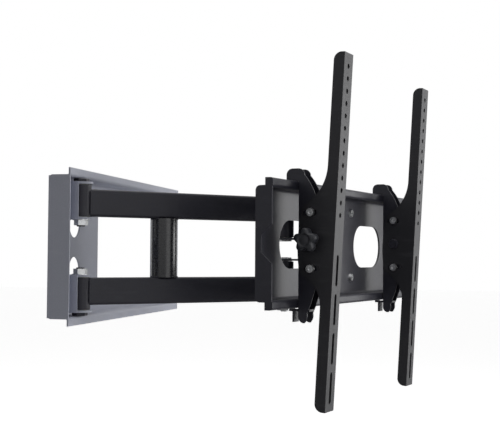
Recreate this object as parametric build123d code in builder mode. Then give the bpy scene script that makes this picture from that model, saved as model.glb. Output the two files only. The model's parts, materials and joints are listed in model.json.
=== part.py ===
from build123d import *
import os
from math import cos, sin, radians

# Full motion TV wall mount, in mm.
# The origin is the centre of the wall plate's back face. The wall is the plane Y = 0,
# -Y points out into the room, +X is to the right when facing the wall, and +Z is up.

# Wall plate: a tray with a hat section, open to the room
PLATE_W = 432
PLATE_H = 166
PLATE_D = 26.4
PLATE_T = 2
LIP_H = 8
WINDOW_W, WINDOW_H, WINDOW_X = 223, 116, 49.5
ROUND_HOLE_R, ROUND_HOLE_X, ROUND_HOLE_Z = 17.5, -140, 29
STUD_SPACING, LAG_SPACING_Z, LAG_R = 406.4, 120, 4.5

# Arm: two rectangular tubes between pivot barrels
ARM_LENGTH = 290
ARM_ANGLE = 45
WALL_PIVOT_X, WALL_PIVOT_Y = -178, -25
BAR_BOTTOM, BAR_TOP = 36, 68
BAR_THICK, BAR_WALL = 20, 2
BARREL_R, BORE_R, BOLT_R = 12, 5.05, 5
WALL_BARREL_Z = (35.8, 73.2)
HEAD_BARREL_Z = (16, 70)
TIE_X, TIE_R, TIE_WALL = 110.6, 16, 2.5
EAR_R, EAR_T = 14, 2.5
GUARD_START, GUARD_SPAN = 95, 95
WALL_EAR_Z = (32.5, 76.5)
HEAD_EAR_Z = (12.5, 73.5)
BUSH_R, BUSH_T = 10, 0.7

# Head plate: a wide hat section whose lips turn back towards the wall
HEAD_YAW = -14.3
HEAD_X, HEAD_Y = 83.7, -289.3
HEAD_HALF_W = 238
HEAD_T = 2.5
HEAD_TOP, HEAD_BOTTOM = 71, -60.5
HEAD_DEPTH, LIP_RISE, LIP_RETURN = 20, 11.5, 10
SLOT_W, SLOT_H, SLOT_U, SLOT_Z = 108, 60, 123, 5.5
SWIVEL_U, SWIVEL_V = -69.5, 43.4
SCREW_U, SCREW_UPPER_Z, SCREW_LOWER_Z = 56, 52, -38

# TV brackets: a hook bracket on the head plate and a slotted bar that tilts on it
LEFT_U, RIGHT_U = -156.5, 145.3
PIVOT_V, PIVOT_Z = -38, 10
TILT = 3.2
TILT_MIN, TILT_MAX = -4.8, 15.2
HOOK_HALF_W, HOOK_T = 10, 2
TV_BAR_HALF_W, TV_BAR_T = 13.5, 2
TV_BAR_TOP, TV_BAR_BOTTOM = 228, -204
TV_BAR_FRONT, TV_BAR_REAR, TV_BAR_ROUND = -31, -17, 10
GUIDE_RADIUS, GUIDE_R, GUIDE_SLOT_W = 34, 3, 6.8
TILT_BOLT_R, TILT_BORE_R = 4, 4.1
STACK = 13.8
KNOB_START, KNOB_END = 15.3, 35
TV_HOLE_R, TV_HOLE_COUNT, TV_HOLE_PITCH, TV_HOLE_TOP = 3.2, 13, 15, 212
TV_SLOT_W, TV_SLOT_L, TV_SLOT_TOP, TV_SLOT_PITCH = 6.5, 38, -34.5, -47

yaw = radians(HEAD_YAW)
tilt = radians(TILT)
swing = radians(ARM_ANGLE)

ARM = Plane(origin=(WALL_PIVOT_X, WALL_PIVOT_Y, 0), x_dir=(sin(swing), -cos(swing), 0), z_dir=(0, 0, 1))
HEAD = Plane(origin=(HEAD_X, HEAD_Y, 0), x_dir=(cos(yaw), sin(yaw), 0), z_dir=(0, 0, 1))
HEAD_FRONT = Plane(origin=HEAD.origin, x_dir=HEAD.x_dir, z_dir=-HEAD.y_dir)


def head_side(u, v=0, z=0):
    """Plane across the head at u: sketch x runs towards the wall, sketch y runs up."""
    return Plane(origin=HEAD.from_local_coords((u, v, z)), x_dir=HEAD.y_dir, z_dir=HEAD.x_dir)


def tilted_side(u):
    """The same plane on the tilt pivot, turned with the TV bar."""
    level = head_side(u, PIVOT_V, PIVOT_Z)
    leaning = HEAD.y_dir * cos(tilt) + Vector(0, 0, sin(tilt))
    return Plane(origin=level.origin, x_dir=leaning, z_dir=HEAD.x_dir)


def bent_sheet(points, thickness):
    """Section of a bent sheet: a line with rounded bends, thickened to its left."""
    with BuildSketch() as section:
        with BuildLine():
            FilletPolyline(*points, radius=thickness + 1)
            offset(amount=thickness, side=Side.LEFT)
        make_face()
    return section.sketch


def ring(place, at, z_low, z_high, outer, inner):
    """Ring about a vertical axis at one point of a level plane."""
    with BuildPart() as made:
        with BuildSketch(place.offset(z_low)):
            with Locations(at):
                Circle(outer)
                Circle(inner, mode=Mode.SUBTRACT)
        extrude(amount=z_high - z_low)
    return made.part


def ear(place, at, root, z_low):
    """Clevis ear: a tongue from the bracket plate to the pivot, with a round end and a bolt hole."""
    pivot_u, pivot_v = at
    with BuildPart() as made:
        with BuildSketch(place.offset(z_low)):
            with Locations((pivot_u, (pivot_v + root) / 2)):
                Rectangle(2 * EAR_R, abs(pivot_v - root))
            with Locations(at):
                Circle(EAR_R)
                Circle(BORE_R, mode=Mode.SUBTRACT)
        extrude(amount=EAR_T)
    return made.part


def block(place, u_range, v_range, z_range):
    """Straight-sided block between two values of u, v and z on a level plane."""
    with BuildPart() as made:
        with BuildSketch(place.offset(z_range[0])):
            with Locations((sum(u_range) / 2, sum(v_range) / 2)):
                Rectangle(u_range[1] - u_range[0], v_range[1] - v_range[0])
        extrude(amount=z_range[1] - z_range[0])
    return made.part


def hex_bolt(place, at, head_low, head_high, tip, head_r):
    """Bolt about a vertical axis: a hexagon head above a round shank that ends at tip."""
    with BuildPart() as made:
        with BuildSketch(place.offset(head_low)):
            with Locations(at):
                RegularPolygon(radius=head_r, side_count=6, major_radius=False)
        extrude(amount=head_high - head_low)
        chamfer(made.faces().sort_by(Axis.Z)[-1].edges(), length=0.6)
        with BuildSketch(place.offset(head_low)):
            with Locations(at):
                Circle(BOLT_R)
        extrude(amount=tip - head_low)
        chamfer(made.faces().sort_by(Axis.Z)[0].edges(), length=0.6)
    return made.part


def hex_nut(place, at, z_low, z_high, flat_r):
    """Hexagon nut about a vertical axis."""
    with BuildPart() as made:
        with BuildSketch(place.offset(z_low)):
            with Locations(at):
                RegularPolygon(radius=flat_r, side_count=6, major_radius=False)
                Circle(BOLT_R, mode=Mode.SUBTRACT)
        extrude(amount=z_high - z_low)
    return made.part


LEVEL = Plane.XY
wall_pivot = (WALL_PIVOT_X, WALL_PIVOT_Y)
head_pivot = (SWIVEL_U, SWIVEL_V)
half_w = PLATE_W / 2
half_h = PLATE_H / 2

# Wall plate ------------------------------------------------------------------------------
with BuildPart() as wall_plate:
    with BuildSketch(Plane.YZ.offset(-half_w)):
        add(bent_sheet(
            [
                (-PLATE_D, half_h + LIP_H),
                (-PLATE_D, half_h - PLATE_T),
                (-PLATE_T, half_h - PLATE_T),
                (-PLATE_T, PLATE_T - half_h),
                (-PLATE_D, PLATE_T - half_h),
                (-PLATE_D, -half_h - LIP_H),
            ],
            PLATE_T,
        ))
    extrude(amount=PLATE_W)
    for x_low in (-half_w, half_w - PLATE_T):
        add(block(LEVEL, (x_low, x_low + PLATE_T), (-PLATE_D, 0), (1 - half_h, half_h - 1)))
    with BuildSketch(Plane.XZ):
        with Locations((WINDOW_X, 0)):
            RectangleRounded(WINDOW_W, WINDOW_H, 10)
        with Locations((ROUND_HOLE_X, ROUND_HOLE_Z), (ROUND_HOLE_X, -ROUND_HOLE_Z)):
            Circle(ROUND_HOLE_R)
        with GridLocations(STUD_SPACING, LAG_SPACING_Z, 2, 2):
            Circle(LAG_R)
    extrude(amount=2 * PLATE_T, mode=Mode.SUBTRACT)

# Wall pivot: two clevises in the tray, each with its bolt, nut, washer and nylon rings ------
with BuildPart() as upper_wall_bracket:
    add(block(LEVEL, (-196, -158), (-4.5, -PLATE_T), WALL_EAR_Z))
    for z_low in (WALL_EAR_Z[0], WALL_EAR_Z[1] - EAR_T):
        add(ear(LEVEL, wall_pivot, -PLATE_T, z_low))
    # A curved guard joins the two ears on the side that the arm never reaches
    with BuildSketch(LEVEL.offset(WALL_EAR_Z[0])):
        with BuildLine():
            inside = CenterArc(wall_pivot, EAR_R, GUARD_START, GUARD_SPAN)
            outside = CenterArc(wall_pivot, EAR_R + EAR_T, GUARD_START, GUARD_SPAN)
            Line(inside @ 0, outside @ 0)
            Line(inside @ 1, outside @ 1)
        make_face()
    extrude(amount=WALL_EAR_Z[1] - WALL_EAR_Z[0])

with BuildPart() as lower_wall_bracket:
    mirror(upper_wall_bracket.part, about=Plane.XY)

with BuildPart() as wall_pivot_bolts:
    add(hex_bolt(LEVEL, wall_pivot, 76.5, 80.5, 24, 8))
    mirror(about=Plane.XY)

with BuildPart() as wall_pivot_washers:
    add(ring(LEVEL, wall_pivot, 31.5, 32.5, 10, BOLT_R))
    mirror(about=Plane.XY)

with BuildPart() as wall_pivot_nuts:
    add(hex_nut(LEVEL, wall_pivot, 25.5, 31.5, 7.2))
    mirror(about=Plane.XY)

with BuildPart() as wall_bushes:
    for z_low in (35.05, 73.25):
        add(ring(LEVEL, wall_pivot, z_low, z_low + BUSH_T, BUSH_R, BORE_R))
    mirror(about=Plane.XY)

# Arm: barrels, bars and the tie tube --------------------------------------------------------
with BuildPart() as upper_wall_barrel:
    add(ring(ARM, (0, 0), *WALL_BARREL_Z, BARREL_R, BORE_R))

with BuildPart() as lower_wall_barrel:
    mirror(upper_wall_barrel.part, about=Plane.XY)

with BuildPart() as upper_head_barrel:
    add(ring(ARM, (ARM_LENGTH, 0), *HEAD_BARREL_Z, BARREL_R, BORE_R))

with BuildPart() as lower_head_barrel:
    mirror(upper_head_barrel.part, about=Plane.XY)

bar_section = Plane(origin=ARM.origin, x_dir=ARM.y_dir, z_dir=ARM.x_dir)
with BuildPart() as upper_arm_bar:
    with BuildSketch(bar_section):
        with Locations((0, (BAR_BOTTOM + BAR_TOP) / 2)):
            RectangleRounded(BAR_THICK, BAR_TOP - BAR_BOTTOM, 3)
            RectangleRounded(
                BAR_THICK - 2 * BAR_WALL, BAR_TOP - BAR_BOTTOM - 2 * BAR_WALL, 1.2, mode=Mode.SUBTRACT
            )
    extrude(amount=ARM_LENGTH)
    with BuildSketch(ARM.offset(BAR_BOTTOM - 1)):
        with Locations((0, 0), (ARM_LENGTH, 0)):
            Circle(BARREL_R)
    extrude(amount=BAR_TOP - BAR_BOTTOM + 2, mode=Mode.SUBTRACT)

with BuildPart() as lower_arm_bar:
    mirror(upper_arm_bar.part, about=Plane.XY)

with BuildPart() as tie_tube:
    add(ring(ARM, (TIE_X, 0), -BAR_BOTTOM, BAR_BOTTOM, TIE_R, TIE_R - TIE_WALL))

# Head plate ---------------------------------------------------------------------------------
lip_top = HEAD_TOP + LIP_RISE
lip_bottom = HEAD_BOTTOM - LIP_RISE
with BuildPart() as head_plate:
    with BuildSketch(head_side(-HEAD_HALF_W)):
        add(bent_sheet(
            [
                (-LIP_RETURN, lip_top),
                (-HEAD_DEPTH, lip_top),
                (-HEAD_DEPTH, HEAD_TOP),
                (0, HEAD_TOP),
                (0, HEAD_BOTTOM),
                (-HEAD_DEPTH, HEAD_BOTTOM),
                (-HEAD_DEPTH, lip_bottom),
                (-LIP_RETURN, lip_bottom),
            ],
            HEAD_T,
        ))
    extrude(amount=2 * HEAD_HALF_W)
    for u_low in (-HEAD_HALF_W, HEAD_HALF_W - HEAD_T):
        with BuildSketch(head_side(u_low)):
            with BuildLine():
                Polyline(
                    (1 - HEAD_DEPTH, lip_top - 1),
                    (-LIP_RETURN, lip_top - 1),
                    (-LIP_RETURN, HEAD_TOP + 1),
                    (1, HEAD_TOP + 1),
                    (1, HEAD_BOTTOM - 1),
                    (-LIP_RETURN, HEAD_BOTTOM - 1),
                    (-LIP_RETURN, lip_bottom + 1),
                    (1 - HEAD_DEPTH, lip_bottom + 1),
                    (1 - HEAD_DEPTH, -18),
                    (-5, -5),
                    (-5, 15),
                    (1 - HEAD_DEPTH, 28),
                    close=True,
                )
            make_face()
        extrude(amount=HEAD_T)
    with BuildSketch(HEAD_FRONT.offset(-2 * HEAD_T)):
        with Locations((-SLOT_U, SLOT_Z), (SLOT_U, SLOT_Z)):
            SlotOverall(SLOT_W, SLOT_H)
        for z in (SCREW_UPPER_Z, SCREW_LOWER_Z):
            with Locations((-SCREW_U, z), (SCREW_U, z)):
                Circle(3)
    extrude(amount=3 * HEAD_T, mode=Mode.SUBTRACT)

with BuildPart() as upper_swivel_bracket:
    add(block(HEAD, (-88, 66), (HEAD_T, 5.5), HEAD_EAR_Z))
    for z_low in (HEAD_EAR_Z[0], HEAD_EAR_Z[1] - EAR_T):
        add(ear(HEAD, head_pivot, HEAD_T, z_low))
    with BuildSketch(HEAD_FRONT.offset(-6)):
        with Locations((-SCREW_U, SCREW_UPPER_Z), (SCREW_U, SCREW_UPPER_Z)):
            Circle(3)
    extrude(amount=4, mode=Mode.SUBTRACT)

with BuildPart() as lower_swivel_bracket:
    add(block(HEAD, (-88, 66), (HEAD_T, 5.5), (-HEAD_EAR_Z[1], -HEAD_EAR_Z[0])))
    for z_low in (-HEAD_EAR_Z[0] - EAR_T, -HEAD_EAR_Z[1]):
        add(ear(HEAD, head_pivot, HEAD_T, z_low))
    with BuildSketch(HEAD_FRONT.offset(-6)):
        with Locations((-SCREW_U, SCREW_LOWER_Z), (SCREW_U, SCREW_LOWER_Z)):
            Circle(3)
    extrude(amount=4, mode=Mode.SUBTRACT)

with BuildPart() as head_pivot_bolts:
    add(hex_bolt(HEAD, head_pivot, -12.5, -10.5, -82, 8))
    mirror(about=Plane.XY)

with BuildPart() as head_pivot_nuts:
    add(hex_nut(HEAD, head_pivot, 73.5, 80.5, 8))
    mirror(about=Plane.XY)

with BuildPart() as head_bushes:
    for z_low in (15.15, 70.15):
        add(ring(HEAD, head_pivot, z_low, z_low + BUSH_T, BUSH_R, BORE_R))
    mirror(about=Plane.XY)

screw_places = [
    (u, z) for u in (-SCREW_U, SCREW_U) for z in (SCREW_UPPER_Z, SCREW_LOWER_Z)
]
with BuildPart() as plate_screws:
    with BuildSketch(HEAD_FRONT):
        with Locations(*screw_places):
            Circle(6)
    extrude(amount=3, taper=18)
    with BuildSketch(HEAD_FRONT.offset(3)):
        with Locations(*screw_places):
            Rectangle(5, 1)
            Rectangle(1, 5)
    extrude(amount=-1.8, mode=Mode.SUBTRACT)
    with BuildSketch(HEAD_FRONT):
        with Locations(*screw_places):
            Circle(3)
    extrude(amount=-10.5)

with BuildPart() as plate_nuts:
    with BuildSketch(HEAD_FRONT.offset(-9.5)):
        with Locations(*screw_places):
            RegularPolygon(radius=5, side_count=6, major_radius=False)
            Circle(3, mode=Mode.SUBTRACT)
    extrude(amount=4)

# TV brackets --------------------------------------------------------------------------------


def hook_bracket(u):
    """Channel that hooks over the upper lip; its side walls carry the tilt pivot."""
    side = head_side(u, PIVOT_V, PIVOT_Z)
    with BuildPart() as bracket:
        with BuildSketch(side):
            with BuildLine():
                Line((18, 88), (26, 88))
                ThreePointArc((26, 88), (31.7, 85.7), (34, 80))
                Polyline((34, 80), (34, 66), (28.7, 66), (28.7, 73), (17.5, 73), (17.5, -92))
                ThreePointArc((17.5, -92), (15.2, -97.7), (9.5, -100))
                ThreePointArc((9.5, -100), (6.3, -95), (6, -88))
                Spline((6, -88), (-6, -50), (-10, 0), (-6, 50), (10, 80))
                ThreePointArc((10, 80), (12.6, 85.8), (18, 88))
            make_face()
            with Locations((0, 0)):
                Circle(TILT_BORE_R, mode=Mode.SUBTRACT)
            with Locations((0, GUIDE_RADIUS), (0, -GUIDE_RADIUS)):
                Circle(GUIDE_R + 0.05, mode=Mode.SUBTRACT)
        extrude(amount=HOOK_HALF_W, both=True)
        with BuildSketch(side):
            with Locations((10, -6)):
                Rectangle(60, 220)
        extrude(amount=HOOK_HALF_W - HOOK_T, both=True, mode=Mode.SUBTRACT)
        with BuildSketch(side):
            with Locations((17.5 - HOOK_T / 2, -3.5)):
                Rectangle(HOOK_T, 153)
        extrude(amount=HOOK_HALF_W - HOOK_T, both=True)
    return bracket


def vesa_bar(u):
    """Tall channel with two ears on the tilt pivot and a row of holes and slots for the TV."""
    side = tilted_side(u)
    tracks = [
        CenterArc((0, 0), GUIDE_RADIUS, middle - TILT_MAX - 0.5, TILT_MAX - TILT_MIN + 1)
        for middle in (90, 270)
    ]
    with BuildPart() as bar:
        with BuildSketch(side):
            with BuildLine():
                foot, crown = TV_BAR_BOTTOM + TV_BAR_ROUND, TV_BAR_TOP - TV_BAR_ROUND
                rounded_to = TV_BAR_REAR - TV_BAR_ROUND
                Line((TV_BAR_REAR, -80), (TV_BAR_REAR, foot))
                TangentArc((TV_BAR_REAR, foot), (rounded_to, TV_BAR_BOTTOM), tangent=(0, -1))
                Polyline(
                    (rounded_to, TV_BAR_BOTTOM), (TV_BAR_FRONT, TV_BAR_BOTTOM),
                    (TV_BAR_FRONT, TV_BAR_TOP), (rounded_to, TV_BAR_TOP),
                )
                TangentArc((rounded_to, TV_BAR_TOP), (TV_BAR_REAR, crown), tangent=(1, 0))
                Line((TV_BAR_REAR, crown), (TV_BAR_REAR, 92))
                ThreePointArc((TV_BAR_REAR, 92), (-8, 61), (12, 42))
                ThreePointArc((12, 42), (17, 0), (12, -42))
                ThreePointArc((12, -42), (-9, -56), (TV_BAR_REAR, -80))
            make_face()
            with Locations((0, 0)):
                Circle(TILT_BORE_R, mode=Mode.SUBTRACT)
        extrude(amount=TV_BAR_HALF_W, both=True)
        with BuildSketch(side):
            for track in tracks:
                SlotArc(track, GUIDE_SLOT_W)
        extrude(amount=TV_BAR_HALF_W, both=True, mode=Mode.SUBTRACT)
        with BuildSketch(side):
            with Locations((30 + TV_BAR_FRONT + TV_BAR_T, 12)):
                Rectangle(60, 500)
        extrude(amount=TV_BAR_HALF_W - TV_BAR_T, both=True, mode=Mode.SUBTRACT)
        face = Plane(origin=side.origin, x_dir=side.z_dir, z_dir=-side.x_dir)
        with BuildSketch(face.offset(-TV_BAR_FRONT + 1)):
            for index in range(TV_HOLE_COUNT):
                with Locations((0, TV_HOLE_TOP - index * TV_HOLE_PITCH)):
                    Circle(TV_HOLE_R)
            for index in range(4):
                with Locations((0, TV_SLOT_TOP + index * TV_SLOT_PITCH)):
                    SlotOverall(TV_SLOT_L, TV_SLOT_W, rotation=90)
        extrude(amount=-TV_BAR_T - 2, mode=Mode.SUBTRACT)
    return bar


def pivot_bolt(u, s):
    """Carriage bolt through the bar and the hook; its head is on the side away from the knob."""
    side = head_side(u, PIVOT_V, PIVOT_Z)
    with BuildPart() as bolt:
        with BuildSketch(side.offset(-s * STACK)):
            Circle(7.5)
        extrude(amount=-s * 4, taper=25)
        with BuildSketch(side.offset(-s * STACK)):
            Circle(TILT_BOLT_R)
        extrude(amount=s * (STACK + 32.5))
    return bolt


def pivot_washer(u, s):
    """Flat washer between the bar and the knob."""
    with BuildPart() as washer:
        with BuildSketch(head_side(u + s * STACK, PIVOT_V, PIVOT_Z)):
            Circle(9)
            Circle(TILT_BOLT_R, mode=Mode.SUBTRACT)
        extrude(amount=s * 1.2)
    return washer


def guide_screws(u, s):
    """Two screws in the hook bracket whose shanks run in the bar's curved slots.
    s is the side of their heads."""
    places = [(0, GUIDE_RADIUS), (0, -GUIDE_RADIUS)]
    with BuildPart() as screws:
        with BuildSketch(head_side(u + s * STACK, PIVOT_V, PIVOT_Z)):
            with Locations(*places):
                Circle(5.5)
        extrude(amount=s * 3.5, taper=12)
        with BuildSketch(head_side(u + s * (STACK + 3.5), PIVOT_V, PIVOT_Z)):
            with Locations(*places):
                RegularPolygon(radius=2, side_count=6, major_radius=False)
        extrude(amount=-s * 2, mode=Mode.SUBTRACT)
        with BuildSketch(head_side(u + s * STACK, PIVOT_V, PIVOT_Z)):
            with Locations(*places):
                Circle(GUIDE_R)
        extrude(amount=-s * (STACK + 10.5))
    return screws


def knob(u, s):
    """Five-lobed plastic knob on the end of the pivot bolt."""
    side = head_side(u + s * KNOB_START, PIVOT_V, PIVOT_Z)
    with BuildPart() as grip:
        with BuildSketch(side):
            Circle(11.5)
            with PolarLocations(10.5, 5, start_angle=18):
                Circle(4.5)
        extrude(amount=s * (KNOB_END - KNOB_START))
        outer = grip.faces().sort_by(Axis(HEAD.origin, HEAD.x_dir))[-1 if s > 0 else 0]
        fillet(outer.edges(), radius=2)
        with BuildSketch(side):
            Circle(TILT_BORE_R)
        extrude(amount=s * (KNOB_END - KNOB_START - 2), mode=Mode.SUBTRACT)
    return grip


def latch(u):
    """Sliding lock: a prong that rises behind the lower lip, and a pull tab under it."""
    side = head_side(u, PIVOT_V, PIVOT_Z)
    with BuildPart() as lock:
        with BuildSketch(side):
            with BuildLine():
                Polyline(
                    (4, -86), (24, -86), (24, -99), (26.5, -99), (26.5, -86), (31, -86),
                    (31, -76), (28.7, -76), (28.7, -83.5), (4, -83.5), close=True,
                )
            make_face()
        extrude(amount=7, both=True)
    return lock


pieces = {
    "wall_plate": wall_plate,
    "upper_wall_bracket": upper_wall_bracket,
    "lower_wall_bracket": lower_wall_bracket,
    "wall_pivot_bolts": wall_pivot_bolts,
    "wall_pivot_washers": wall_pivot_washers,
    "wall_pivot_nuts": wall_pivot_nuts,
    "wall_bushes": wall_bushes,
    "upper_wall_barrel": upper_wall_barrel,
    "lower_wall_barrel": lower_wall_barrel,
    "upper_head_barrel": upper_head_barrel,
    "lower_head_barrel": lower_head_barrel,
    "upper_arm_bar": upper_arm_bar,
    "lower_arm_bar": lower_arm_bar,
    "tie_tube": tie_tube,
    "head_plate": head_plate,
    "upper_swivel_bracket": upper_swivel_bracket,
    "lower_swivel_bracket": lower_swivel_bracket,
    "head_pivot_bolts": head_pivot_bolts,
    "head_pivot_nuts": head_pivot_nuts,
    "head_bushes": head_bushes,
    "plate_screws": plate_screws,
    "plate_nuts": plate_nuts,
}
# The knob is on the outer side of each bracket: -u on the left one, +u on the right one.
# The heads of the guide screws are on the -u side of both.
for name, u, s in (("left", LEFT_U, -1), ("right", RIGHT_U, 1)):
    pieces[name + "_hook_bracket"] = hook_bracket(u)
    pieces[name + "_vesa_bar"] = vesa_bar(u)
    pieces[name + "_pivot_bolt"] = pivot_bolt(u, s)
    pieces[name + "_pivot_washer"] = pivot_washer(u, s)
    pieces[name + "_guide_screws"] = guide_screws(u, -1)
    pieces[name + "_knob"] = knob(u, s)
    pieces[name + "_latch"] = latch(u)

os.makedirs("parts", exist_ok=True)
for name, built in pieces.items():
    built.part.label = name
    export_step(built.part, f"parts/{name}.step")
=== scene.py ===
# %% [markdown]
# # A full motion TV wall mount
# The imported CAD model is a fixed frame: its nodes keep their places, and this script gives them
# their paint, plating and plastic, and adds what a machinist's model leaves out.

# %% Load the frame
import json
import math

import bmesh
import bpy
import numpy as np
from mathutils import Matrix, Vector


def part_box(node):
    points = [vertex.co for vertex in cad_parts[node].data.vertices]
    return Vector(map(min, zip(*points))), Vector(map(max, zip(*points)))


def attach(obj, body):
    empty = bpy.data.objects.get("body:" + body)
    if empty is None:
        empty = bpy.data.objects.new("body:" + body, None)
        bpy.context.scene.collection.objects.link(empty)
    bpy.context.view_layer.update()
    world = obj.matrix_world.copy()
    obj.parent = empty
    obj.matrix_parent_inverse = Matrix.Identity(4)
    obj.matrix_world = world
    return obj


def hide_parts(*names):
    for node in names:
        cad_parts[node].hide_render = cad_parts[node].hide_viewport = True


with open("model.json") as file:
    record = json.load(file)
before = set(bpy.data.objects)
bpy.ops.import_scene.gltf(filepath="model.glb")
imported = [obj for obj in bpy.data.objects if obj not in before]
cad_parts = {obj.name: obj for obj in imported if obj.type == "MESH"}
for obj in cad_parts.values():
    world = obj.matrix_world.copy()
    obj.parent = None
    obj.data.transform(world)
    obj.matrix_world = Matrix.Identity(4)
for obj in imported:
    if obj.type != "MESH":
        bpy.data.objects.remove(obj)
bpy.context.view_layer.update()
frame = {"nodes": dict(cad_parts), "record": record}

MM = 0.001

# %% [markdown]
# ## Where things are
# The pivots come from the joints of the record, so a new piece sits on its axle without fitting.
# A joint stores a point on its axis and the axis itself.

# %% Pivots from the record
joints = {joint["name"]: joint for joint in frame["record"]["behaviour"]["joints"]}
wall_pivot = np.array(joints["wall_swivel"]["pos_m"])
head_pivot = np.array(joints["head_swivel"]["pos_m"])
rail = np.array(joints["left_tilt"]["axis"])
arm_run = head_pivot - wall_pivot
arm_run[2] = 0
arm_length = np.linalg.norm(arm_run)
along = arm_run / arm_length
across = np.array([-along[1], along[0], 0.0])
up = np.array([0.0, 0.0, 1.0])
print("arm", round(float(arm_length), 4), "m long")

# %% [markdown]
# ## Camera
# The mount is seen almost edge on from its left, a little below the middle, through a long lens,
# so that the tray, the arm and the two TV bars are read from left to right. The camera's
# matrix is worked out from a heading, a pitch and a roll, which is easier to adjust by hand than
# three Euler angles.

# %% Camera
CAMERA_PLACE = Vector((-1.3400, -0.4899, -0.0093))
HEADING, PITCH, ROLL = math.radians(77.34), math.radians(2.16), math.radians(0.42)
LENS = 75.6

look = Vector((math.sin(HEADING) * math.cos(PITCH), math.cos(HEADING) * math.cos(PITCH), math.sin(PITCH)))
level = Vector((math.cos(HEADING), -math.sin(HEADING), 0))
upright = level.cross(look)
right = math.cos(ROLL) * level + math.sin(ROLL) * upright
top = -math.sin(ROLL) * level + math.cos(ROLL) * upright

camera_data = bpy.data.cameras.new("camera")
camera_data.lens = LENS
camera_data.sensor_width = 36
camera_data.clip_end = 50
camera = bpy.data.objects.new("camera", camera_data)
camera.matrix_world = Matrix((
    (right.x, top.x, -look.x, CAMERA_PLACE.x),
    (right.y, top.y, -look.y, CAMERA_PLACE.y),
    (right.z, top.z, -look.z, CAMERA_PLACE.z),
    (0, 0, 0, 1),
))
bpy.context.collection.objects.link(camera)
bpy.context.scene.camera = camera
bpy.context.scene.view_settings.view_transform = "Standard"

# %% [markdown]
# ## Light
# Black paint is shaped by what it reflects. One large soft panel stands in the room, in front of
# the TV side, so faces that look into the room are bright and faces that look sideways stay dark.
# A weak panel on the camera's side opens the shadows. The sky is pale and soft.

# %% Light
OBJECT_MIDDLE = Vector((0, -0.16, 0.01))


def soft_panel(name, place, size, power):
    """A square area light at a place, aimed at the middle of the object."""
    data = bpy.data.lights.new(name, "AREA")
    data.size = size
    data.energy = power
    panel = bpy.data.objects.new(name, data)
    panel.location = place
    panel.rotation_euler = (OBJECT_MIDDLE - Vector(place)).to_track_quat("-Z", "Y").to_euler()
    panel.visible_camera = False
    bpy.context.collection.objects.link(panel)
    return panel


soft_panel("room_panel", (0.9, -2.1, -0.25), 2.0, 42)
soft_panel("side_panel", (-1.4, -2.0, -0.3), 1.6, 6)
soft_panel("top_panel", (0.1, -0.2, 1.9), 1.4, 12)

world = bpy.data.worlds.new("pale_room")
bpy.context.scene.world = world
world.use_nodes = True
sky = world.node_tree
background = sky.nodes["Background"]
background.inputs["Color"].default_value = (1, 1, 1, 1)
rays = sky.nodes.new("ShaderNodeLightPath")
SKY_LIGHT, SKY_SHINE, SKY_SEEN = 0.07, 0.80, 1.0
shine = sky.nodes.new("ShaderNodeMapRange")
shine.inputs["To Min"].default_value = SKY_LIGHT
shine.inputs["To Max"].default_value = SKY_SHINE
seen = sky.nodes.new("ShaderNodeMapRange")
seen.inputs["To Max"].default_value = SKY_SEEN
sky.links.new(rays.outputs["Is Glossy Ray"], shine.inputs["Value"])
sky.links.new(rays.outputs["Is Camera Ray"], seen.inputs["Value"])
sky.links.new(shine.outputs["Result"], seen.inputs["To Min"])
sky.links.new(seen.outputs["Result"], background.inputs["Strength"])

# %% [markdown]
# ## Floor
# A wide pale disc under the mount. It is part of the stage and not of the object.

# %% Floor
FLOOR_Z, FLOOR_R = -0.48, 14.0


def grid_mesh(name, points, closed_u=False, closed_v=False, caps=False):
    """A mesh over a grid of points (rows u, columns v, 3). Neighbours in the grid share a face.
    closed_u and closed_v join the last row or column to the first; caps closes both end rows."""
    rows, columns = points.shape[:2]
    index = np.arange(rows * columns).reshape(rows, columns)
    step_u = np.roll(index, -1, axis=0) if closed_u else index[1:]
    here = index if closed_u else index[:-1]
    step_v = np.roll(here, -1, axis=1)
    step_uv = np.roll(step_u, -1, axis=1)
    quads = np.stack([here, step_u, step_uv, step_v], axis=-1)
    if not closed_v:
        quads = quads[:, :-1]
    faces = quads.reshape(-1, 4).tolist()
    if caps:
        faces += [index[0].tolist(), index[-1][::-1].tolist()]
    mesh = bpy.data.meshes.new(name)
    mesh.from_pydata(points.reshape(-1, 3).tolist(), [], faces)
    mesh.validate()
    made = bpy.data.objects.new(name, mesh)
    bpy.context.collection.objects.link(made)
    return made


def face_outwards(made):
    """Turns the faces of a closed surface outwards, whichever way its grid ran."""
    shell = bmesh.new()
    shell.from_mesh(made.data)
    bmesh.ops.recalc_face_normals(shell, faces=shell.faces)
    shell.to_mesh(made.data)
    shell.free()


turn = np.linspace(0, 2 * math.pi, 96, endpoint=False)
radius = np.array([0.001, FLOOR_R])[:, None]
disc = np.stack([radius * np.cos(turn), radius * np.sin(turn), np.full((2, 96), FLOOR_Z)], axis=-1)
floor = grid_mesh("floor", disc, closed_v=True)

# %% [markdown]
# ## Shared effects
# Paint, plating and plastic differ in colour, but they share the same kinds of flaws. Each flaw is
# a node group with named sockets, built once and placed in each material with its own values.
# A group gives only masks, colours and normals. The shader stays in the material.

# %% Helpers for node groups


def node_group(name, inputs, outputs):
    """An empty shader group with named sockets. Inputs are (name, kind, default)."""
    group = bpy.data.node_groups.new(name, "ShaderNodeTree")
    for label, kind, default in inputs:
        socket = group.interface.new_socket(label, in_out="INPUT", socket_type=kind)
        if default is not None:
            socket.default_value = default
    for label, kind in outputs:
        group.interface.new_socket(label, in_out="OUTPUT", socket_type=kind)
    entry = group.nodes.new("NodeGroupInput")
    result = group.nodes.new("NodeGroupOutput")
    return group, entry, result


def place_node(tree, kind, **settings):
    """A new node with some of its properties set."""
    node = tree.nodes.new(kind)
    for key, value in settings.items():
        setattr(node, key, value)
    return node


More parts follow.
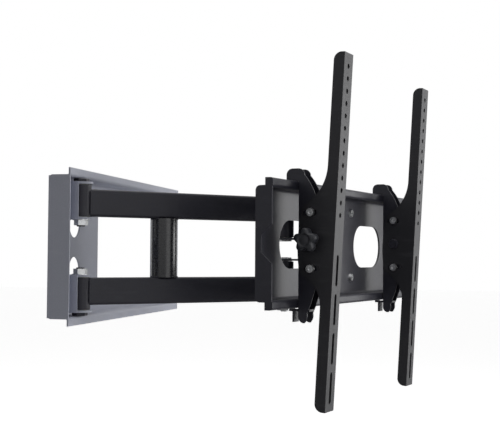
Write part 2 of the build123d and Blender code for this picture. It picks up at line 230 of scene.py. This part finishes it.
FLOAT, COLOR, VECTOR = "NodeSocketFloat", "NodeSocketColor", "NodeSocketVector"

# %% [markdown]
# ### Powder coat
# Powder paint melts into a skin with a fine orange peel. A fine noise gives
# the pimples, a soft noise gives the slow swells, and a Bump node turns both into a normal.
# A displacement of the mesh would need millions of faces for a tenth of a millimetre.

# %% Powder texture group
powder_group, entry, result = node_group(
    "powder_texture",
    [("Grain per m", FLOAT, 900.0), ("Depth", FLOAT, 0.3)],
    [("Speckle", FLOAT), ("Normal", VECTOR)],
)
place = powder_group.nodes.new("ShaderNodeTexCoord")
grain = place_node(powder_group, "ShaderNodeTexNoise", noise_dimensions="3D")
grain.inputs["Detail"].default_value = 2.0
swell = place_node(powder_group, "ShaderNodeTexNoise", noise_dimensions="3D")
swell.inputs["Scale"].default_value = 160.0
blend = place_node(powder_group, "ShaderNodeMath", operation="MULTIPLY_ADD")
blend.inputs[1].default_value = 0.6
bump = powder_group.nodes.new("ShaderNodeBump")
bump.inputs["Distance"].default_value = 0.0003
powder_group.links.new(place.outputs["Object"], grain.inputs["Vector"])
powder_group.links.new(place.outputs["Object"], swell.inputs["Vector"])
powder_group.links.new(entry.outputs["Grain per m"], grain.inputs["Scale"])
powder_group.links.new(grain.outputs["Fac"], blend.inputs[0])
powder_group.links.new(swell.outputs["Fac"], blend.inputs[2])
powder_group.links.new(blend.outputs["Value"], bump.inputs["Height"])
powder_group.links.new(entry.outputs["Depth"], bump.inputs["Strength"])
powder_group.links.new(grain.outputs["Fac"], result.inputs["Speckle"])
powder_group.links.new(bump.outputs["Normal"], result.inputs["Normal"])

# %% [markdown]
# ### Handling marks
# Painted steel picks up faint rubs where hands and screws touch it. Noise stretched along one
# direction and cut off by a ramp leaves a few thin streaks and large clean areas.

# %% Rub marks group
rub_group, entry, result = node_group("rub_marks", [("Amount", FLOAT, 0.5)], [("Mask", FLOAT)])
place = rub_group.nodes.new("ShaderNodeTexCoord")
stretch = rub_group.nodes.new("ShaderNodeMapping")
stretch.inputs["Scale"].default_value = (22, 22, 90)
streaks = rub_group.nodes.new("ShaderNodeTexNoise")
streaks.inputs["Scale"].default_value = 1.0
streaks.inputs["Detail"].default_value = 6.0
cut = place_node(rub_group, "ShaderNodeMapRange", clamp=True)
cut.inputs["From Min"].default_value = 0.56
cut.inputs["From Max"].default_value = 0.75
scaled = place_node(rub_group, "ShaderNodeMath", operation="MULTIPLY")
rub_group.links.new(place.outputs["Object"], stretch.inputs["Vector"])
rub_group.links.new(stretch.outputs["Vector"], streaks.inputs["Vector"])
rub_group.links.new(streaks.outputs["Fac"], cut.inputs["Value"])
rub_group.links.new(cut.outputs["Result"], scaled.inputs[0])
rub_group.links.new(entry.outputs["Amount"], scaled.inputs[1])
rub_group.links.new(scaled.outputs["Value"], result.inputs["Mask"])

# %% [markdown]
# ### Settled dust
# Dust lies on what faces up. The z part of the surface normal finds those faces, and noise breaks
# the layer up. It shows most on black paint, as a slightly paler film.

# %% Dust group
dust_group, entry, result = node_group("settled_dust", [("Amount", FLOAT, 0.3)], [("Mask", FLOAT)])
facing = dust_group.nodes.new("ShaderNodeNewGeometry")
parts = dust_group.nodes.new("ShaderNodeSeparateXYZ")
place = dust_group.nodes.new("ShaderNodeTexCoord")
patches = dust_group.nodes.new("ShaderNodeTexNoise")
patches.inputs["Scale"].default_value = 60.0
lying = place_node(dust_group, "ShaderNodeMapRange", clamp=True)
lying.inputs["From Min"].default_value = 0.5
lying.inputs["From Max"].default_value = 1.0
patchy = place_node(dust_group, "ShaderNodeMath", operation="MULTIPLY")
scaled = place_node(dust_group, "ShaderNodeMath", operation="MULTIPLY")
dust_group.links.new(facing.outputs["Normal"], parts.inputs["Vector"])
dust_group.links.new(parts.outputs["Z"], lying.inputs["Value"])
dust_group.links.new(place.outputs["Object"], patches.inputs["Vector"])
dust_group.links.new(lying.outputs["Result"], patchy.inputs[0])
dust_group.links.new(patches.outputs["Fac"], patchy.inputs[1])
dust_group.links.new(patchy.outputs["Value"], scaled.inputs[0])
dust_group.links.new(entry.outputs["Amount"], scaled.inputs[1])
dust_group.links.new(scaled.outputs["Value"], result.inputs["Mask"])
print("groups", [group.name for group in bpy.data.node_groups])

# %% [markdown]
# ## Paints
# All painted steel is one recipe with different numbers: a base colour that the speckle varies a
# little, paler rubs and dust over it, and a roughness that varies with the speckle. The black of the arm,
# the head and the TV bars is the same satin powder. The tray is the same powder in pale grey.

# %% Painted steel


def new_material(name):
    """A material with its tree and its Principled shader."""
    material = bpy.data.materials.new(name)
    material.use_nodes = True
    return material, material.node_tree, material.node_tree.nodes["Principled BSDF"]


def group_node(tree, group, **values):
    """Places a shared group in a material with its own values."""
    node = tree.nodes.new("ShaderNodeGroup")
    node.node_tree = group
    for label, value in values.items():
        node.inputs[label.replace("_", " ")].default_value = value
    return node


def mixed_color(tree, factor, low, high):
    """A colour that goes from low to high with a factor. low and high are colours or sockets."""
    mix = tree.nodes.new("ShaderNodeMix")
    mix.data_type = "RGBA"
    tree.links.new(factor, mix.inputs["Factor"])
    for socket, value in ((mix.inputs[6], low), (mix.inputs[7], high)):
        if isinstance(value, tuple):
            socket.default_value = (*value, 1)
        else:
            tree.links.new(value, socket)
    return mix.outputs[2]


def painted_steel(name, dark, pale, rubbed, dusty, roughness, grain, depth, specular=0.5):
    """Powder-coated steel: dark and pale are the two ends of its speckle."""
    material, tree, shader = new_material(name)
    powder = group_node(tree, powder_group, Grain_per_m=grain, Depth=depth)
    rubs = group_node(tree, rub_group, Amount=0.35)
    dust = group_node(tree, dust_group, Amount=0.5)
    paint = mixed_color(tree, powder.outputs["Speckle"], dark, pale)
    worn = mixed_color(tree, rubs.outputs["Mask"], paint, rubbed)
    covered = mixed_color(tree, dust.outputs["Mask"], worn, dusty)
    tree.links.new(covered, shader.inputs["Base Color"])
    dull = tree.nodes.new("ShaderNodeMath")
    dull.operation = "MULTIPLY_ADD"
    dull.inputs[1].default_value = 0.25
    dull.inputs[2].default_value = roughness - 0.12
    tree.links.new(powder.outputs["Speckle"], dull.inputs[0])
    tree.links.new(dull.outputs["Value"], shader.inputs["Roughness"])
    tree.links.new(powder.outputs["Normal"], shader.inputs["Normal"])
    shader.inputs["Specular IOR Level"].default_value = specular
    return material


tray_paint = painted_steel(
    "grey_powder_coat",
    dark=(0.52, 0.54, 0.63), pale=(0.64, 0.66, 0.76),
    rubbed=(0.70, 0.72, 0.80), dusty=(0.66, 0.66, 0.68),
    roughness=0.42, grain=800, depth=0.15,
)
black_paint = painted_steel(
    "black_powder_coat",
    dark=(0.012, 0.012, 0.019), pale=(0.028, 0.028, 0.042),
    rubbed=(0.05, 0.05, 0.062), dusty=(0.13, 0.13, 0.14),
    roughness=0.42, grain=900, depth=0.25, specular=0.40,
)
bar_paint = painted_steel(
    "tv_bar_powder_coat",
    dark=(0.012, 0.012, 0.015), pale=(0.030, 0.030, 0.036),
    rubbed=(0.06, 0.06, 0.066), dusty=(0.13, 0.13, 0.13),
    roughness=0.48, grain=1000, depth=0.2, specular=0.36,
)
tube_gloss = painted_steel(
    "gloss_black",
    dark=(0.010, 0.010, 0.014), pale=(0.016, 0.016, 0.021),
    rubbed=(0.03, 0.03, 0.034), dusty=(0.06, 0.06, 0.06),
    roughness=0.26, grain=300, depth=0.015, specular=0.7,
)

# %% [markdown]
# ## Zinc plate
# Screws and nuts are barrel-plated: bright, slightly blue metal with soft cloudy patches and fine
# scratches in every direction. It is fully metallic, so the colour sits in its reflections.

# %% Zinc plate
zinc, tree, shader = new_material("zinc_plate")
place = tree.nodes.new("ShaderNodeTexCoord")
clouds = tree.nodes.new("ShaderNodeTexNoise")
clouds.inputs["Scale"].default_value = 350.0
clouds.inputs["Detail"].default_value = 5.0
tree.links.new(place.outputs["Object"], clouds.inputs["Vector"])
plate_color = mixed_color(tree, clouds.outputs["Fac"], (0.46, 0.48, 0.51), (0.80, 0.80, 0.79))
tree.links.new(plate_color, shader.inputs["Base Color"])
shine = tree.nodes.new("ShaderNodeMapRange")
shine.inputs["To Min"].default_value = 0.18
shine.inputs["To Max"].default_value = 0.42
tree.links.new(clouds.outputs["Fac"], shine.inputs["Value"])
tree.links.new(shine.outputs["Result"], shader.inputs["Roughness"])
scratch = group_node(tree, powder_group, Grain_per_m=1500.0, Depth=0.1)
tree.links.new(scratch.outputs["Normal"], shader.inputs["Normal"])
shader.inputs["Metallic"].default_value = 1.0

# %% [markdown]
# ## Plastics
# The nylon rings are milky and a little translucent. The knobs are moulded in dark blue-grey
# plastic with a spark-eroded texture, which is rougher than the paint and catches a grey sheen.

# %% Nylon and knob plastic


def moulded_plastic(name, dark, pale, roughness, grain, depth):
    """Moulded plastic: slight clouding in the colour and a fine eroded texture."""
    material, tree, shader = new_material(name)
    texture = group_node(tree, powder_group, Grain_per_m=grain, Depth=depth)
    rubs = group_node(tree, rub_group, Amount=0.5)
    body = mixed_color(tree, texture.outputs["Speckle"], dark, pale)
    worn = mixed_color(tree, rubs.outputs["Mask"], body, tuple(min(1, 1.5 * value) for value in pale))
    tree.links.new(worn, shader.inputs["Base Color"])
    tree.links.new(texture.outputs["Normal"], shader.inputs["Normal"])
    shader.inputs["Roughness"].default_value = roughness
    return material


nylon = moulded_plastic("nylon", (0.52, 0.51, 0.46), (0.68, 0.67, 0.62), 0.45, 500, 0.08)
nylon.node_tree.nodes["Principled BSDF"].inputs["Subsurface Weight"].default_value = 0.2
nylon.node_tree.nodes["Principled BSDF"].inputs["Subsurface Scale"].default_value = 0.002
knob_plastic = moulded_plastic("knob_plastic", (0.016, 0.017, 0.022), (0.034, 0.036, 0.044), 0.48, 1400, 0.3)

# %% [markdown]
# ### The floor's material
# Pale and plain, with a little light of its own so that it runs into the pale background.

# %% Floor material
floor_material, tree, shader = new_material("pale_floor")
shader.inputs["Base Color"].default_value = (0.88, 0.88, 0.88, 1)
shader.inputs["Roughness"].default_value = 0.9
shader.inputs["Emission Color"].default_value = (1, 1, 1, 1)
FLOOR_GLOW = 0.85
rays = tree.nodes.new("ShaderNodeLightPath")
glow = tree.nodes.new("ShaderNodeMath")
glow.operation = "MULTIPLY"
glow.inputs[1].default_value = FLOOR_GLOW
tree.links.new(rays.outputs["Is Camera Ray"], glow.inputs[0])
tree.links.new(glow.outputs["Value"], shader.inputs["Emission Strength"])
floor.data.materials.append(floor_material)

# %% [markdown]
# ## Which node gets which finish
# The record names a material slot for every node, so the finishes follow it. The TV bars have
# their own slightly glossier black.

# %% Finish the CAD nodes
FINISHES = {
    "grey_powder_coat": tray_paint,
    "black_powder_coat": black_paint,
    "gloss_black": tube_gloss,
    "zinc_plate": zinc,
    "nylon": nylon,
    "knob_plastic": knob_plastic,
}


def finish_with(piece, material):
    """Gives a piece one material in its first slot."""
    if piece.data.materials:
        piece.data.materials[0] = material
    else:
        piece.data.materials.append(material)


slot_of = {part["node"]: part["material_slot"] for part in frame["record"]["subparts"]}
for name, node in frame["nodes"].items():
    finish_with(node, bar_paint if name.endswith("vesa_bar") else FINISHES[slot_of[name]])
print("finished", len(slot_of), "nodes")

# %% [markdown]
# ## Tilt knobs
# The real knob is one moulding: five rounded lobes to grip, a slightly domed face with a sunken
# ring, and a short hub against the washer. Stacking cylinders would leave hard steps. Here it is
# one surface of revolution whose radius swells five times round, so lobes and face blend.

# %% Knobs
LOBES = 5
KNOB_START = 15.3 * MM
LOBE_SHARPNESS = 1.4
KNOB_RINGS = np.array([
    # distance from the washer side, mean radius and depth of the lobes, in mm
    (0.0, 4.15, 0.0), (0.0, 7.0, 0.0), (0.0, 8.6, 0.0), (0.4, 9.0, 0.0), (4.0, 9.2, 0.0), (5.0, 10.2, 0.5),
    (5.8, 12.0, 1.8), (6.8, 12.6, 2.1), (12.0, 12.7, 2.2), (16.0, 12.6, 2.2), (17.6, 12.1, 2.0),
    (18.7, 11.0, 1.6), (19.3, 9.4, 0.9), (19.45, 8.0, 0.3), (19.2, 7.4, 0.0), (18.5, 7.0, 0.0),
    (18.4, 6.0, 0.0), (18.8, 3.5, 0.0), (19.0, 1.2, 0.0), (19.0, 0.02, 0.0),
])
BORE_RINGS = np.array([(17.0, 0.02, 0.0), (17.0, 4.15, 0.0)])


def knob_surface(centre, axis):
    """Point at (ring, angle): centre + axis * distance + a circle whose radius is the mean radius
    plus the lobe depth times a rounded cosine of five times the angle."""
    rings = np.vstack([BORE_RINGS, KNOB_RINGS])
    angle = np.linspace(0, 2 * math.pi, 120, endpoint=False)
    wave = np.cos(LOBES * (angle - math.pi / 2))
    rounded = 1 - ((1 - wave) / 2) ** LOBE_SHARPNESS * 2
    reach = (rings[:, 1, None] + rings[:, 2, None] * rounded) * MM
    side = np.cross(up, axis)
    ring = np.cos(angle)[:, None] * side + np.sin(angle)[:, None] * up
    return centre + rings[:, 0, None, None] * MM * axis + reach[:, :, None] * ring


for side_name, sign in (("left", -1), ("right", 1)):
    axis = rail * sign
    pivot = np.array(joints[side_name + "_tilt"]["pos_m"])
    face_start = pivot + axis * KNOB_START
    knob = grid_mesh(side_name + "_tilt_knob", knob_surface(face_start, axis), closed_v=True, caps=True)
    face_outwards(knob)
    knob.data.shade_smooth()
    finish_with(knob, knob_plastic)
    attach(knob, side_name + "_knob_body")
    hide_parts(side_name + "_knob")
    print(knob.name, len(knob.data.polygons), "faces")

# %% [markdown]
# ## Weld beads
# The bars are welded to the barrels, and the tie tube to the bars. A weld is a row of overlapping
# ripples. Here it is a tube carried along a path, whose radius ripples with the distance
# travelled. A torus would be too even to look welded.

# %% Weld beads
BEAD_R, RIPPLE, RIPPLE_LENGTH = 1.1 * MM, 0.18, 1.6 * MM
TAPER = 14  # the ends taper over one part in fourteen of the bead's length
SINK = 0.4 * MM  # how far a tube weld lies in from the bar's face
FLANK_GAP, SEAM_LEAD = 0.2 * MM, 0.8 * MM  # a flank weld stands off the bar and the barrel
BARREL_R, BAR_HALF = 12 * MM, 10 * MM


def bead(name, path, outward, closed, radius=BEAD_R):
    """A tube round a path of points. Its radius is the bead radius times one plus a ripple that
    repeats every ripple length, and it tapers to nothing at both ends if the path is open."""
    ahead = np.roll(path, -1, axis=0) - np.roll(path, 1, axis=0)
    if not closed:
        ahead[0] = path[1] - path[0]
        ahead[-1] = path[-1] - path[-2]
    ahead /= np.linalg.norm(ahead, axis=1)[:, None]
    sideways = np.cross(ahead, outward)
    sideways /= np.linalg.norm(sideways, axis=1)[:, None]
    steps = np.linalg.norm(np.diff(path, axis=0), axis=1)
    travelled = np.concatenate([[0], np.cumsum(steps)])
    swell = radius * (1 + RIPPLE * np.sin(2 * math.pi * travelled / RIPPLE_LENGTH))
    if not closed:
        share = travelled / travelled[-1]
        swell = swell * np.clip(np.minimum(share, 1 - share) * TAPER, 0.05, 1) ** 0.5
    angle = np.linspace(0, 2 * math.pi, 10, endpoint=False)
    rise = np.cos(angle)[None, :, None] * outward[:, None, :]
    run = np.sin(angle)[None, :, None] * sideways[:, None, :]
    points = path[:, None, :] + swell[:, None, None] * (rise + run)
    made = grid_mesh(name, points, closed_u=closed, closed_v=True, caps=not closed)
    face_outwards(made)
    made.data.shade_smooth()
    return made


def finish_bead(made):
    """Welds are painted over together with the arm."""
    finish_with(made, black_paint)
    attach(made, "arm")


tube_low, tube_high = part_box("tie_tube")
tube_centre = (np.array(tube_low) + np.array(tube_high)) / 2
tube_r = (tube_high[0] - tube_low[0]) / 2
for name, z in (("lower", tube_low[2]), ("upper", tube_high[2])):
    inward = 1 if name == "lower" else -1
    # The bead lies only where the tube meets the bar: two arcs, one at each end of the contact
    for end, start in (("wall", math.pi), ("head", 0.0)):
        reach = math.asin(BAR_HALF / tube_r) * 0.96
        arc = np.linspace(start - reach, start + reach, 60)
        rim = np.cos(arc)[:, None] * along + np.sin(arc)[:, None] * across
        path = tube_centre * np.array([1, 1, 0]) + rim * tube_r + up * (z + inward * SINK)
        finish_bead(bead(f"{name}_tube_weld_{end}", path, rim, False))

for level_name in ("upper", "lower"):
    bar_low, bar_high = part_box(level_name + "_arm_bar")
    z_run = np.linspace(bar_low[2] + 2 * MM, bar_high[2] - 2 * MM, 90)
    for end_name, centre, sign in (("wall", wall_pivot, 1), ("head", head_pivot, -1)):
        for flank_name, flank in (("left", 1), ("right", -1)):
            reach = math.sqrt(BARREL_R**2 - BAR_HALF**2) + SEAM_LEAD
            aside = flank * (BAR_HALF + FLANK_GAP)
            foot = centre * np.array([1, 1, 0]) + along * sign * reach + across * aside
            path = foot + z_run[:, None] * up
            outward = np.tile(across * flank, (len(z_run), 1))
            name = f"{level_name}_{end_name}_weld_{flank_name}"
            finish_bead(bead(name, path, outward, False))
